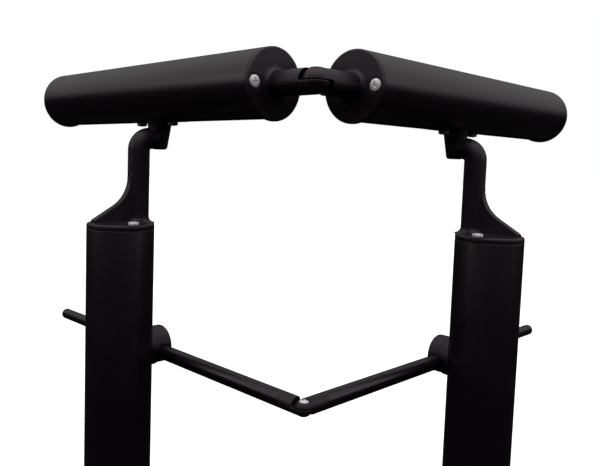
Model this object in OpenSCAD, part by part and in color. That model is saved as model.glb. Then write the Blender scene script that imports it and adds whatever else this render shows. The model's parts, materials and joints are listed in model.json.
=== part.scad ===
// Adjustable corner of a tubular railing: two wings of handrail, post and bars,
// joined by lap hinges that share one vertical axis. Millimetres, +Z up.
// Each wing is drawn along its own rail: x runs from the corner axis along the
// rail, y points to the inner side of the corner, z is up from the floor.

/* [Railing] */
// Height of the handrail's axis above the floor
rail_height = 975; // [900:5:1100]
// Distance from the corner axis to the outer end of each wing
wing_length = 330; // [300:5:600]
// Distance from the corner axis to each post, along the rail
post_reach = 175; // [165:1:220]
// Number of bars under each handrail
bar_count = 4; // [2:1:4]
// Vertical distance from handrail to first bar, and from bar to bar
bar_pitch = 212.5; // [150:0.5:220]

/* [Handrail] */
// Outer diameter of the handrail
rail_d = 50; // [48:1:54]
// Wall thickness of the handrail
rail_wall = 2.5; // [2:0.1:3]
// Width of the channel along the underside
channel_w = 21; // [20:0.5:22]
// Thickness of the saddle plate that fills the channel's depth
saddle_t = 3.2; // [3:0.1:4]
// Distance from the corner axis to the face of each corner cap
cap_reach = 36.5; // [34:0.5:45]
// Thickness of the caps at the ends of the handrails
cap_t = 3; // [2.5:0.1:4]

/* [Post] */
// Outer diameter of the posts
post_d = 53; // [52:0.5:56]
// Wall thickness of the posts
post_wall = 3; // [2.5:0.1:4]
// Distance from the rail's plane out to the post's axis
post_offset = 32.7; // [32.6:0.1:33.5]
// Depth of the cap's top face below the handrail's axis
post_drop = 104.5; // [95:0.5:120]
// Diameter of the round foot
flange_d = 104; // [100:1:120]
// Thickness of the foot
flange_t = 8; // [6:0.5:12]
// Pitch circle of the anchor holes
anchor_pcd = 80; // [78:1:82]
// Diameter of the anchor holes
anchor_d = 9; // [8:0.5:10]

/* [Bracket] */
// Diameter of the gooseneck's round stem
stem_d = 17.5; // [16:0.5:18]
// Distance from the rail's plane out to the stem's axis
stem_offset = 16.9; // [16.5:0.1:18.5]
// Distance from the stem to the boss, along the rail toward the corner
boss_lean = 3.7; // [0:0.1:5]
// Thickness of the gusset rib
rib_t = 6; // [4:0.5:8]
// Distance between the two saddle screws
saddle_pitch = 44; // [40:1:48]

/* [Bars] */
// Diameter of the bars
bar_d = 10; // [9.5:0.5:10]
// Outer diameter of the sleeves and hinges at the corner
sleeve_d = 12; // [11.5:0.5:12]
// Diameter of the bar holders
holder_d = 31; // [29:0.5:33]
// Height of a holder's centre above its bar
holder_rise = 3.2; // [2:0.1:4]

/* [Corner hinge] */
// Diameter of the round arms on the corner caps
arm_d = 17.6; // [16:0.1:18]
// Gap between a tongue's ball end and the recess that faces it
lap_gap = 2.6; // [2:0.1:3]

/* [Hidden] */
$fn = 96;
eps = 0.01;
fit = 0.05;                   // radial clearance of fixed screws and spigots
running = 0.06;               // radial clearance of the hinge pins
lap = 0.3;                    // height of the gap between two tongues
heading = 45;                 // direction of each wing from the X axis
rail_r = rail_d / 2;
post_r = post_d / 2;
stem_r = stem_d / 2;
arm_r = arm_d / 2;
bar_r = bar_d / 2;
sleeve_r = sleeve_d / 2;
holder_r = holder_d / 2;

screw_r = 2.05;               // thread of the cap screws
screw_head_r = 4.25;
screw_head_h = 2.6;
port_r = screw_r + fit;       // screw ports inside the extrusions
port_wall = 2.4;
recess_r = 4.9;               // recess round a screw head
recess_h = 1.4;
post_recess_r = 5.7;          // the post caps' recesses are wider and shallow
post_recess_h = 0.3;
rail_port = 19;               // port centres from the handrail's axis
post_port = 19;               // port centres from the post's axis
post_ring_r = 5;              // ring of metal round a post's port

lip_z = sqrt(pow(rail_r, 2) - pow(channel_w / 2, 2));
floor_z = lip_z - saddle_t;   // channel floor, below the handrail's axis
channel_t = 2.5;
spigot_r = 14;
spigot_l = 10;

saddle_l = 62;
saddle_head_r = 4.2;
saddle_head_h = 3.7;
saddle_screw_l = 12;
saddle_w = channel_w - 0.4;
bolt_r = 3;
bolt_head_r = 5.5;
bolt_head_h = 2.6;
bolt_sink = 0.1;
bolt_l = 14;
neck_z = -36.6;               // axis of the gooseneck's level stretch
neck_bend = 9.5;
neck_end_r = 7.2;             // the level stretch narrows to this at the boss
neck_turn = atan(boss_lean / stem_offset);
neck_l = norm([boss_lean, stem_offset]);
boss_reach = post_reach - boss_lean;
boss_top_r = 10;
boss_bottom_r = 6.8;
post_cap_t = 4.5;
cap_spigot_r = 13;
cap_spigot_l = 12;
cap_screw_l = 18;
rim_r = 1.5;                  // rounding of the caps' rims
rib_r = 26.6;                 // concave curve of the gusset
rib_top = -67.8;
rib_slope = 60;

post_top = rail_height - post_drop - post_cap_t;
plug_l = 25;
plug_r = post_r - post_wall - 0.2;
plug_gap = 0.8;               // room round the ports in the foot's plug
foot_screw_l = flange_t + 16;
foot_head_r = 4;
foot_head_h = 2.4;
foot_head_sink = 0.3;

holder_face = 8.7;            // holder's end face, inward of the rail's plane
holder_back = -13;            // where a holder starts, before the post is cut out of it
holder_collar = -2;
collar_h = 0.8;
holder_screw_z = 8.6;         // fixing screw above the holder's centre
holder_screw_l = 13;
hinge_l = 19;
hinge_spigot_l = 23;
hinge_spigot_r = bar_r - fit;
bar_start = hinge_l + hinge_spigot_l + 2;
sleeve_end = post_reach - 4;
bar_chamfer = 0.6;

flare = 3.5;                  // fillet between an arm and its cap
pivot_r = 3;                  // the handrail's pivot screw
pivot_head_r = 4.4;
pivot_head_h = 2.7;
pivot_seat = 6;               // underside of the head above the arm's axis
pivot_tip = 6.5;
bar_pivot_r = 1.6;            // the bars' pivot screws
bar_pivot_head_r = 3.2;
bar_pivot_head_h = 2;
bar_pivot_seat = 3;
bar_pivot_tip = 4.2;

levels = [for (k = [1:bar_count]) rail_height - k * bar_pitch];
reach_y = (wing_length + rail_r) * sin(heading);
origin_y = (reach_y - arm_r) / 2;

SIDES = ["left", "right"];
ONE_OF = ["handrail", "corner_cap", "end_cap", "bracket", "saddle_plate", "saddle_bolt",
          "saddle_screws", "cap_screws", "post", "base_flange", "base_screws", "holder_screws"];
PER_LEVEL = ["bar", "sleeve", "hinge", "holder"];

satin_black = [0.11, 0.11, 0.12];
cast_black = [0.14, 0.13, 0.14];
dark_screw = [0.2, 0.2, 0.19];
zinc = [0.75, 0.75, 0.74];

// Placing

// Puts the corner axis in its place and turns a wing to its heading
module wing(side) {
    translate([0, -origin_y, 0])
        mirror([side == "left" ? 1 : 0, 0, 0])
            rotate([0, 0, heading])
                children();
}

// Lays a child drawn along z down along x, with its own y still up
module along_x() {
    rotate([90, 0, 90]) children();
}

// Two places, one each side of the middle
module pair(distance) {
    for (s = [-1, 1]) translate([s * distance, 0, 0]) children();
}

// Shared shapes

// A disc with rounded upper rim
module rounded_disc(r, h, round_r) {
    rotate_extrude() {
        square([r - round_r, h]);
        square([r, h - round_r]);
        translate([r - round_r, h - round_r]) circle(round_r);
    }
}

// A ring of metal with a screw hole, seen along the extrusion
module port_ring() {
    circle(port_r + port_wall);
}

// A cross slot for a screwdriver, sunk below z = 0
module cross_slot(width, depth) {
    for (a = [0, 90])
        rotate([0, 0, a]) translate([-width / 2, -0.5, -depth]) cube([width, 1, depth + 2]);
}

// A pan head screw: its head stands on z = 0 and its thread runs down
module pan_screw(head_r, head_h, thread_r, thread_l) {
    dome = 1.9 * head_r;
    difference() {
        union() {
            intersection() {
                cylinder(r = head_r, h = head_h);
                translate([0, 0, head_h - dome]) sphere(dome);
            }
            translate([0, 0, -thread_l]) cylinder(r = thread_r, h = thread_l + eps);
        }
        translate([0, 0, head_h]) cross_slot(head_r * 1.15, head_h * 0.6);
    }
}

// A countersunk screw: its head is flush with z = 0 and its thread runs down
module flat_screw(head_r, head_h, thread_r, thread_l) {
    difference() {
        union() {
            translate([0, 0, -head_h]) cylinder(r1 = thread_r, r2 = head_r, h = head_h);
            translate([0, 0, -thread_l]) cylinder(r = thread_r, h = thread_l - head_h + eps);
        }
        cross_slot(head_r * 1.1, head_h * 0.5);
    }
}

// The space a countersunk screw needs
module flat_screw_hole(head_r, head_h, thread_r, thread_l) {
    translate([0, 0, -head_h - fit]) cylinder(r1 = thread_r, r2 = head_r + 0.3, h = head_h + fit);
    translate([0, 0, -fit]) cylinder(r = head_r + 0.3, h = 1);
    translate([0, 0, -thread_l]) cylinder(r = thread_r + fit, h = thread_l);
}

// A round rod along z that starts with a ball at the origin
module ball_rod(r, length) {
    rotate_extrude() intersection() {
        union() {
            circle(r);
            square([r, length]);
        }
        translate([0, -r]) square([r, r + length]);
    }
}

// Half of a lap hinge: a round arm along x that ends in a ball, with half of the ball
// left as a tongue. The recess for the other tongue is a larger ball with a groove on
// the inner side, where the other arm lies while the corner is square.
module lap_arm(r, reach, upper) {
    room = r + lap_gap;
    difference() {
        rotate([0, 90, 0]) ball_rod(r, reach);
        intersection() {
            rotate([-90, 0, 0]) ball_rod(room, room);
            translate([-2 * r, -2 * r, upper ? lap / 2 - 2 * r : -lap / 2])
                cube([4 * r, 4 * r, 2 * r]);
        }
    }
}

// Handrail

module handrail_section() {
    difference() {
        union() {
            difference() {
                circle(rail_r);
                circle(rail_r - rail_wall);
            }
            intersection() {
                circle(rail_r);
                union() {
                    for (s = [-1, 1]) translate([s * rail_port, 0]) port_ring();
                    translate([-channel_w / 2 - channel_t, -rail_r])
                        square([channel_w + 2 * channel_t, rail_r - floor_z + channel_t]);
                }
            }
        }
        for (s = [-1, 1]) translate([s * rail_port, 0]) circle(port_r);
        translate([-channel_w / 2, -rail_r - 1]) square([channel_w, rail_r + 1 - floor_z]);
    }
}

module handrail() {
    start = cap_reach + cap_t;
    translate([0, 0, rail_height]) difference() {
        translate([start, 0, 0]) along_x()
            linear_extrude(wing_length - cap_t - start) handrail_section();
        for (s = [-1, 1])
            translate([post_reach + s * saddle_pitch / 2, 0, -rail_r]) cylinder(r = port_r, h = rail_r);
    }
}

// Closes a handrail: a rim disc with a spigot and two recessed screw holes,
// drawn along z with its outer face up and its spigot down
module rail_plug() {
    difference() {
        union() {
            rounded_disc(rail_r, cap_t, 0.8);
            translate([0, 0, -spigot_l]) cylinder(r = spigot_r, h = spigot_l + eps);
        }
        pair(rail_port) {
            translate([0, 0, cap_t - recess_h]) cylinder(r = recess_r, h = recess_h + 1);
            translate([0, 0, -1]) cylinder(r = port_r, h = cap_t + 2);
        }
    }
}

// Places a plug's child on the corner end, facing the corner axis
module at_corner_face() {
    translate([cap_reach + cap_t, 0, rail_height]) rotate([0, -90, 0]) rotate([0, 0, 90]) children();
}

// Places a plug's child on the outer end
module at_outer_face() {
    translate([wing_length - cap_t, 0, rail_height]) rotate([0, 90, 0]) rotate([0, 0, 90]) children();
}

// Bore and head recess of a hinge's upper tongue, or the blind hole of a lower one
module pivot_hole(r, seat, head_r, tip, upper) {
    if (upper) {
        cylinder(r = r + running, h = 2 * seat);
        translate([0, 0, seat]) cylinder(r = head_r + 0.5, h = 2 * seat);
    } else {
        translate([0, 0, -tip - 0.2]) cylinder(r = r + fit, h = 2 * tip);
    }
}

module corner_cap(side) {
    upper = side == "right";
    at_corner_face() rail_plug();
    translate([0, 0, rail_height]) difference() {
        union() {
            lap_arm(arm_r, cap_reach + 1, upper);
            translate([cap_reach, 0, 0]) rotate([0, -90, 0]) rotate_extrude() difference() {
                square([arm_r + flare, flare]);
                translate([arm_r + flare, flare]) circle(flare);
            }
        }
        pivot_hole(pivot_r, pivot_seat, pivot_head_r, pivot_tip, upper);
    }
}

// Saddle: the plate in the channel and what holds it

module saddle_plate() {
    translate([post_reach, 0, rail_height - lip_z]) difference() {
        intersection() {
            translate([-saddle_l / 2, -saddle_w / 2, 0]) cube([saddle_l, saddle_w, saddle_t]);
            cylinder(r = saddle_l / 2, h = saddle_t);
        }
        translate([-boss_lean, 0, saddle_t])
            flat_screw_hole(bolt_head_r, bolt_head_h, bolt_r, 2 * saddle_t);
        pair(saddle_pitch / 2) translate([0, 0, -1]) cylinder(r = port_r + 0.2, h = saddle_t + 2);
    }
}

module saddle_bolt() {
    translate([boss_reach, 0, rail_height - floor_z - bolt_sink])
        flat_screw(bolt_head_r, bolt_head_h, bolt_r, bolt_l + saddle_t);
}

module saddle_screws() {
    translate([post_reach, 0, rail_height - lip_z]) pair(saddle_pitch / 2)
        rotate([180, 0, 0]) pan_screw(saddle_head_r, saddle_head_h, screw_r, saddle_screw_l);
}

// Bracket: post cap, stem, gusset, elbow and boss in one casting

// Gusset's outline: x is the distance out from the rail's plane, y the height from its axis
module rib_section() {
    root = stem_offset + stem_r;
    rim = post_offset + post_r - rim_r;
    bend_x = root + rib_r * (1 - cos(rib_slope));
    bend_z = rib_top - rib_r * sin(rib_slope);
    rim_z = bend_z - (rim - bend_x) / tan(rib_slope);
    base = -post_drop - 1;
    polygon(concat(
        [[stem_offset, base], [stem_offset, rib_top]],
        [for (a = [0:rib_slope / 12:rib_slope])
            [root + rib_r * (1 - cos(a)), rib_top - rib_r * sin(a)]],
        [[rim, rim_z], [rim, base]]
    ));
}

module bracket() {
    difference() {
        union() {
            translate([post_reach, -post_offset, post_top]) {
                rounded_disc(post_r, post_cap_t, rim_r);
                translate([0, 0, -cap_spigot_l]) cylinder(r = cap_spigot_r, h = cap_spigot_l + eps);
            }
            translate([post_reach, 0, rail_height]) {
                translate([0, -stem_offset, -post_drop - 1])
                    cylinder(r = stem_r, h = post_drop + 1 + neck_z - neck_bend);
                translate([0, -stem_offset, neck_z]) rotate([0, 0, neck_turn]) translate([0, neck_bend, 0]) {
                    translate([0, 0, -neck_bend]) rotate([90, 0, -90])
                        rotate_extrude(angle = 90) translate([neck_bend, 0]) circle(stem_r);
                    rotate([-90, 0, 0]) cylinder(r1 = stem_r, r2 = neck_end_r, h = neck_l - neck_bend);
                }
                translate([-boss_lean, 0, neck_z - stem_r])
                    cylinder(r1 = boss_bottom_r, r2 = boss_top_r, h = -neck_z + stem_r - lip_z);
                translate([-rib_t / 2, 0, 0]) rotate([90, 0, -90]) translate([0, 0, -rib_t])
                    linear_extrude(rib_t) rib_section();
            }
        }
        translate([post_reach, -post_offset, post_top]) pair(post_port) {
            translate([0, 0, post_cap_t - post_recess_h]) cylinder(r = post_recess_r, h = 9);
            translate([0, 0, -1]) cylinder(r = port_r, h = post_cap_t + 2);
        }
        translate([boss_reach, 0, rail_height - lip_z - bolt_l - 0.2])
            cylinder(r = bolt_r + fit, h = bolt_l + 1);
    }
}

// Six equal screws: corner cap, outer cap and post cap
module cap_screws() {
    at_corner_face() pair(rail_port) translate([0, 0, cap_t - recess_h]) cap_screw();
    at_outer_face() pair(rail_port) translate([0, 0, cap_t - recess_h]) cap_screw();
    translate([post_reach, -post_offset, post_top + post_cap_t - post_recess_h])
        pair(post_port) cap_screw();
}

module cap_screw() {
    pan_screw(screw_head_r, screw_head_h, screw_r, cap_screw_l);
}

// Outer end of the handrail
module end_cap() {
    at_outer_face() rail_plug();
}

// Post and foot

module post() {
    translate([post_reach, -post_offset, flange_t]) linear_extrude(post_top - flange_t) difference() {
        union() {
            difference() {
                circle(post_r);
                circle(post_r - post_wall);
            }
            intersection() {
                circle(post_r);
                for (s = [-1, 1]) translate([s * post_port, 0]) circle(post_ring_r);
            }
        }
        for (s = [-1, 1]) translate([s * post_port, 0]) circle(port_r);
    }
}

module base_flange() {
    translate([post_reach, -post_offset, 0]) difference() {
        union() {
            rounded_disc(flange_d / 2, flange_t, rim_r);
            difference() {
                cylinder(r = plug_r, h = flange_t + plug_l);
                pair(post_port) translate([0, 0, flange_t])
                    cylinder(r = post_ring_r + plug_gap, h = plug_l + 1);
            }
        }
        for (a = [45:90:315])
            rotate([0, 0, a]) translate([anchor_pcd / 2, 0, -1]) cylinder(d = anchor_d, h = flange_t + 2);
        pair(post_port) rotate([180, 0, 0])
            flat_screw_hole(foot_head_r, foot_head_h + foot_head_sink, screw_r, flange_t + 1);
    }
}

module base_screws() {
    translate([post_reach, -post_offset, foot_head_sink]) pair(post_port)
        rotate([180, 0, 0]) flat_screw(foot_head_r, foot_head_h, screw_r, foot_screw_l);
}

// Bars, their holders and the lap hinges at the corner

module bar(z) {
    length = wing_length - bar_start;
    translate([bar_start, 0, z]) rotate([0, 90, 0]) {
        cylinder(r = bar_r, h = length - bar_chamfer);
        translate([0, 0, length - bar_chamfer])
            cylinder(r1 = bar_r, r2 = bar_r - bar_chamfer, h = bar_chamfer);
    }
}

module sleeve(z) {
    translate([hinge_l, 0, z]) rotate([0, 90, 0]) difference() {
        cylinder(r = sleeve_r, h = sleeve_end - hinge_l);
        translate([0, 0, -1]) cylinder(r = bar_r + fit, h = sleeve_end - hinge_l + 2);
    }
}

module hinge(side, z) {
    upper = side == "right";
    translate([0, 0, z]) difference() {
        union() {
            lap_arm(sleeve_r, hinge_l, upper);
            translate([hinge_l - 1, 0, 0]) rotate([0, 90, 0])
                cylinder(r = hinge_spigot_r, h = hinge_spigot_l + 1);
        }
        pivot_hole(bar_pivot_r, bar_pivot_seat, bar_pivot_head_r, bar_pivot_tip, upper);
    }
}

module holder(z) {
    difference() {
        translate([post_reach, 0, z + holder_rise]) rotate([-90, 0, 0]) {
            translate([0, 0, holder_back]) rounded_disc(holder_r, holder_face - holder_back, 1);
            translate([0, 0, holder_back])
                cylinder(r = holder_r + collar_h, h = holder_collar - holder_back);
        }
        translate([post_reach, -post_offset, z - 50]) cylinder(r = post_r, h = 100);
        translate([post_reach - 50, 0, z]) rotate([0, 90, 0]) {
            cylinder(r = bar_r + fit, h = 100);
            cylinder(r = sleeve_r + fit, h = 50 + sleeve_end - post_reach);
        }
        at_holder_screw(z) {
            translate([0, 0, -recess_h]) cylinder(r = recess_r, h = recess_h + 1);
            translate([0, 0, -30]) cylinder(r = port_r, h = 31);
        }
    }
}

// Places a child on a holder's end face, on its fixing screw's axis
module at_holder_screw(z) {
    translate([post_reach, holder_face, z + holder_rise + holder_screw_z]) rotate([-90, 0, 0]) children();
}

module holder_screws() {
    for (z = levels) at_holder_screw(z) translate([0, 0, -recess_h])
        pan_screw(screw_head_r, screw_head_h, screw_r, holder_screw_l);
}

// Pivot screws stand on the corner axis and are threaded into the left halves

module corner_pivot_screw() {
    translate([0, 0, rail_height + pivot_seat])
        pan_screw(pivot_head_r, pivot_head_h, pivot_r, pivot_seat + pivot_tip);
}

module bar_pivot_screws() {
    for (z = levels) translate([0, 0, z + bar_pivot_seat])
        pan_screw(bar_pivot_head_r, bar_pivot_head_h, bar_pivot_r, bar_pivot_seat + bar_pivot_tip);
}

// Picks the shape of one named piece of a wing
module wing_piece(side, piece) {
    if (piece == "handrail") color(satin_black) handrail();
    if (piece == "corner_cap") color(cast_black) corner_cap(side);
    if (piece == "end_cap") color(cast_black) end_cap();
    if (piece == "bracket") color(cast_black) bracket();
    if (piece == "saddle_plate") color(satin_black) saddle_plate();
    if (piece == "saddle_bolt") color(zinc) saddle_bolt();
    if (piece == "saddle_screws") color(dark_screw) saddle_screws();
    if (piece == "cap_screws") color(zinc) cap_screws();
    if (piece == "post") color(satin_black) post();
    if (piece == "base_flange") color(satin_black) base_flange();
    if (piece == "base_screws") color(zinc) base_screws();
    if (piece == "holder_screws") color(zinc) holder_screws();
}

// Picks the shape of one named piece of a bar
module bar_piece(side, piece, z) {
    if (piece == "bar") color(satin_black) bar(z);
    if (piece == "sleeve") color(satin_black) sleeve(z);
    if (piece == "hinge") color(cast_black) hinge(side, z);
    if (piece == "holder") color(cast_black) holder(z);
}

for (s = SIDES) {
    for (n = ONE_OF)
        wing(s) wing_piece(s, n);
    for (n = PER_LEVEL) for (k = [1:bar_count])
        wing(s) bar_piece(s, n, levels[k - 1]);
}
wing("right") color(dark_screw) corner_pivot_screw();
wing("right") color(zinc) bar_pivot_screws();
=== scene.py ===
import json
import math

import bmesh
import bpy
from mathutils import Matrix, Vector


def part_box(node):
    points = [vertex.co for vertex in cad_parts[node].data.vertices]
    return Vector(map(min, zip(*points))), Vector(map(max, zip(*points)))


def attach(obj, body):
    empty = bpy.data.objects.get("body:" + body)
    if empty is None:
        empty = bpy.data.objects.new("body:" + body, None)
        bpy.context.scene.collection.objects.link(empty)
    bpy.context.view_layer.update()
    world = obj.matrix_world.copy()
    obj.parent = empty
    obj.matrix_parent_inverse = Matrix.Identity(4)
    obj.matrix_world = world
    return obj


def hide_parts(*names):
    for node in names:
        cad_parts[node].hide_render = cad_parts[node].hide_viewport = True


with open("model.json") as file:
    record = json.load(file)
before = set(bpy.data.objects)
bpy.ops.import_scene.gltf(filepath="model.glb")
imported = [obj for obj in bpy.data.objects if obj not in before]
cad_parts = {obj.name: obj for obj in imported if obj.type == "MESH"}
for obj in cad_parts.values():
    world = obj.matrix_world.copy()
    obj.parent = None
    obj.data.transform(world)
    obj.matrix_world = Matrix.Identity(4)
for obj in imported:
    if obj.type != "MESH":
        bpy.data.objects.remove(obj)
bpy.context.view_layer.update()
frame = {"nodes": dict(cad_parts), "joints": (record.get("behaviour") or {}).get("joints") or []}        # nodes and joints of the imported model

mm = 0.001
turn = 2 * math.pi
sides = ("left", "right")
bodyOf = {side: side + "_run" for side in sides}
cornerAxis = Vector(frame["joints"][0]["pos_m"])
railZ = cornerAxis.z / mm
heading = math.radians(45)


# Places

# Wing space is in millimetres: x along the rail from the corner axis, y to the inner side, z up from the floor
def wingSpace(side):
    place = Matrix.Translation((cornerAxis.x, cornerAxis.y, 0)) @ Matrix.Rotation(heading, 4, "Z")
    if side == "left":
        place = Matrix.Diagonal((-1, 1, 1, 1)) @ place
    return place @ Matrix.Scale(mm, 4)


def localBox(side, piece):  # a node's lowest and highest corner in its own wing's space
    back = wingSpace(side).inverted()
    points = [back @ v.co for v in frame["nodes"][side + "_" + piece].data.vertices]
    low = Vector([min(p[i] for p in points) for i in range(3)])
    high = Vector([max(p[i] for p in points) for i in range(3)])
    return low, high


def levelHeights():
    levels = 0
    while "right_bar_%d" % (levels + 1) in frame["nodes"]:
        levels += 1
    boxes = [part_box("right_bar_%d" % (k + 1)) for k in range(levels)]
    return [(low.z + high.z) / 2 / mm for low, high in boxes]


barHeights = levelHeights()
railLow, railHigh = localBox("right", "handrail")
postLow, postHigh = localBox("right", "post")
postAt = (postLow + postHigh) / 2
railRadius = railHigh.z - railZ
postRadius = (postHigh.x - postLow.x) / 2

upward = Matrix.Identity(4)
alongRail = Matrix.Rotation(math.pi / 2, 4, "Y")      # a shape drawn along z lies along x
towardInside = Matrix.Rotation(-math.pi / 2, 4, "X")  # a shape drawn along z lies along y


def at(x, y, z):
    return Matrix.Translation((x, y, z))


# Mesh tools

# How many faces go round each kind of shape
facets = {"post": 144, "rail": 128, "arm": 112, "knob": 96, "barArm": 80, "stem": 72, "plug": 64, "bar": 56,
          "hole": 48}


def arc(cx, cy, r, start, end, steps):  # points on a circle, angles in degrees
    angles = [math.radians(start + (end - start) * i / steps) for i in range(steps + 1)]
    return [(cx + r * math.cos(a), cy + r * math.sin(a)) for a in angles]


def lathe(bm, profile, place=upward, steps=facets["knob"]):  # profile is (radius, height); it closes on the axis
    rings = []
    for r, h in profile:
        if r < 1e-6:
            rings.append([bm.verts.new(place @ Vector((0, 0, h)))])
            continue
        rings.append([
            bm.verts.new(place @ Vector((r * math.cos(turn * i / steps), r * math.sin(turn * i / steps), h)))
            for i in range(steps)
        ])
    for low, high in zip(rings, rings[1:]):
        for i in range(steps):
            j = (i + 1) % steps
            corners = [low[i % len(low)], low[j % len(low)], high[j % len(high)], high[i % len(high)]]
            face = list(dict.fromkeys(corners))
            if len(face) > 2:
                bm.faces.new(face)
    return rings


def rod(bm, r, start, end, place=upward, steps=facets["plug"], edge=0):
    ends = [(0, start), (r - edge, start), (r, start + edge), (r, end - edge), (r - edge, end), (0, end)]
    profile = ends if edge else [(0, start), (r, start), (r, end), (0, end)]
    lathe(bm, profile, place, steps)


def prism(bm, outline, low, high, place=upward):  # outline is in x and y
    rings = [[bm.verts.new(place @ Vector((x, y, z))) for x, y in outline] for z in (low, high)]
    bm.faces.new(rings[0][::-1])
    bm.faces.new(rings[1])
    for i in range(len(outline)):
        j = (i + 1) % len(outline)
        bm.faces.new([rings[0][i], rings[0][j], rings[1][j], rings[1][i]])


def sweep(bm, path, r, place=upward, steps=facets["hole"]):  # a round bar along points in the plane of y and z
    rings = []
    for i, point in enumerate(path):
        before, after = path[max(i - 1, 0)], path[min(i + 1, len(path) - 1)]
        ahead = (Vector(after) - Vector(before)).normalized()
        across = Vector((1, 0, 0))
        lift = ahead.cross(across)
        circle = [(math.cos(turn * k / steps), math.sin(turn * k / steps)) for k in range(steps)]
        rings.append([bm.verts.new(place @ (Vector(point) + r * (c * across + s * lift))) for c, s in circle])
    for low, high in zip(rings, rings[1:]):
        for k in range(steps):
            bm.faces.new([low[k], low[(k + 1) % steps], high[(k + 1) % steps], high[k]])
    bm.faces.new(rings[0][::-1])
    bm.faces.new(rings[-1])


def meshFrom(bm, name):
    bmesh.ops.recalc_face_normals(bm, faces=bm.faces)
    mesh = bpy.data.meshes.new(name)
    bm.to_mesh(mesh)
    bm.free()
    return mesh


def applied(obj, name):  # the mesh with every modifier in it; the helper object goes away
    graph = bpy.context.evaluated_depsgraph_get()
    mesh = bpy.data.meshes.new_from_object(obj.evaluated_get(graph))
    mesh.name = name
    old = obj.data
    bpy.data.objects.remove(obj)
    bpy.data.meshes.remove(old)
    return mesh


def helper(mesh):
    obj = bpy.data.objects.new("helper", mesh)
    bpy.context.scene.collection.objects.link(obj)
    return obj


def carved(solid, cutter, name):  # cutter's volume taken out of solid
    body, tool = helper(solid), helper(cutter)
    cut = body.modifiers.new("cut", "BOOLEAN")
    cut.operation, cut.solver, cut.object = "DIFFERENCE", "EXACT", tool
    cut.use_self = True
    mesh = applied(body, name)
    old = tool.data
    bpy.data.objects.remove(tool)
    bpy.data.meshes.remove(old)
    return mesh


def cast(mesh, name, voxel, relax):  # melts overlapping solids into one skin with soft inner corners
    body = helper(mesh)
    skin = body.modifiers.new("skin", "REMESH")
    skin.mode, skin.voxel_size, skin.adaptivity = "VOXEL", voxel, 0
    soften = body.modifiers.new("soften", "SMOOTH")
    soften.factor, soften.iterations = 0.5, relax
    return applied(body, name)


# Puts a wing-space mesh in the frame as a finished piece; sharp is the angle above which an edge stays hard
def addPiece(name, mesh, place, side, finish, nodes, sharp=None):
    mesh = mesh.copy()
    mesh.transform(place)
    if place.determinant() < 0:
        mesh.flip_normals()
    mesh.polygons.foreach_set("use_smooth", [True] * len(mesh.polygons))
    if sharp:
        mesh.set_sharp_from_angle(angle=math.radians(sharp))
    mesh.materials.clear()
    mesh.materials.append(finish)
    obj = bpy.data.objects.new(name, mesh)
    mesh.name = name
    bpy.context.scene.collection.objects.link(obj)
    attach(obj, bodyOf[side])
    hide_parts(*nodes)


def joined(meshes, name):  # several placed copies as one mesh
    bm = bmesh.new()
    for mesh, place in meshes:
        copy = mesh.copy()
        copy.transform(place)
        if place.determinant() < 0:
            copy.flip_normals()
        bm.from_mesh(copy)
        bpy.data.meshes.remove(copy)
    out = bpy.data.meshes.new(name)
    bm.to_mesh(out)
    bm.free()
    return out


# Shader groups

def newGroup(name, inputs, outputs):
    tree = bpy.data.node_groups.new(name, "ShaderNodeTree")
    for label, value in inputs.items():
        socket = tree.interface.new_socket(label, in_out="INPUT", socket_type="NodeSocketFloat")
        socket.default_value = value
    for label in outputs:
        tree.interface.new_socket(label, in_out="OUTPUT", socket_type="NodeSocketFloat")
    return tree, tree.nodes.new("NodeGroupInput"), tree.nodes.new("NodeGroupOutput")


def addNode(tree, kind, settings=None, links=None):
    node = tree.nodes.new(kind)
    for key, value in (settings or {}).items():
        setattr(node, key, value)
    for key, source in (links or {}).items():
        if hasattr(source, "is_output"):
            tree.links.new(source, node.inputs[key])
        else:
            node.inputs[key].default_value = source
    return node


def mathNode(tree, operation, a, b=0.0):
    return addNode(tree, "ShaderNodeMath", {"operation": operation}, {0: a, 1: b}).outputs[0]


def mapRange(tree, value, low, high, toLow, toHigh):
    links = {"Value": value, "From Min": low, "From Max": high, "To Min": toLow, "To Max": toHigh}
    return addNode(tree, "ShaderNodeMapRange", {}, links).outputs[0]


def noise(tree, vector, scale, detail=2.0, rough=0.5):
    links = {"Vector": vector, "Scale": scale, "Detail": detail, "Roughness": rough}
    return addNode(tree, "ShaderNodeTexNoise", {}, links).outputs[0]


# Powder coat: orange peel, finer grain and a slow change of gloss
def powderGroup():
    inputs = {"Peel Scale": 900.0, "Grain Scale": 4000.0, "Grain Share": 0.3}
    tree, enter, leave = newGroup("powderCoat", inputs, ("Height", "Gloss Shift"))
    place = addNode(tree, "ShaderNodeTexCoord").outputs["Object"]
    peel = noise(tree, place, enter.outputs["Peel Scale"], 2.0)
    grain = noise(tree, place, enter.outputs["Grain Scale"], 2.0)
    weighted = mathNode(tree, "MULTIPLY", grain, enter.outputs["Grain Share"])
    tree.links.new(mathNode(tree, "ADD", peel, weighted), leave.inputs["Height"])
    broad = noise(tree, place, 22.0, 4.0, 0.6)
    tree.links.new(mapRange(tree, broad, 0.3, 0.7, -1.0, 1.0), leave.inputs["Gloss Shift"])
    return tree


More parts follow.
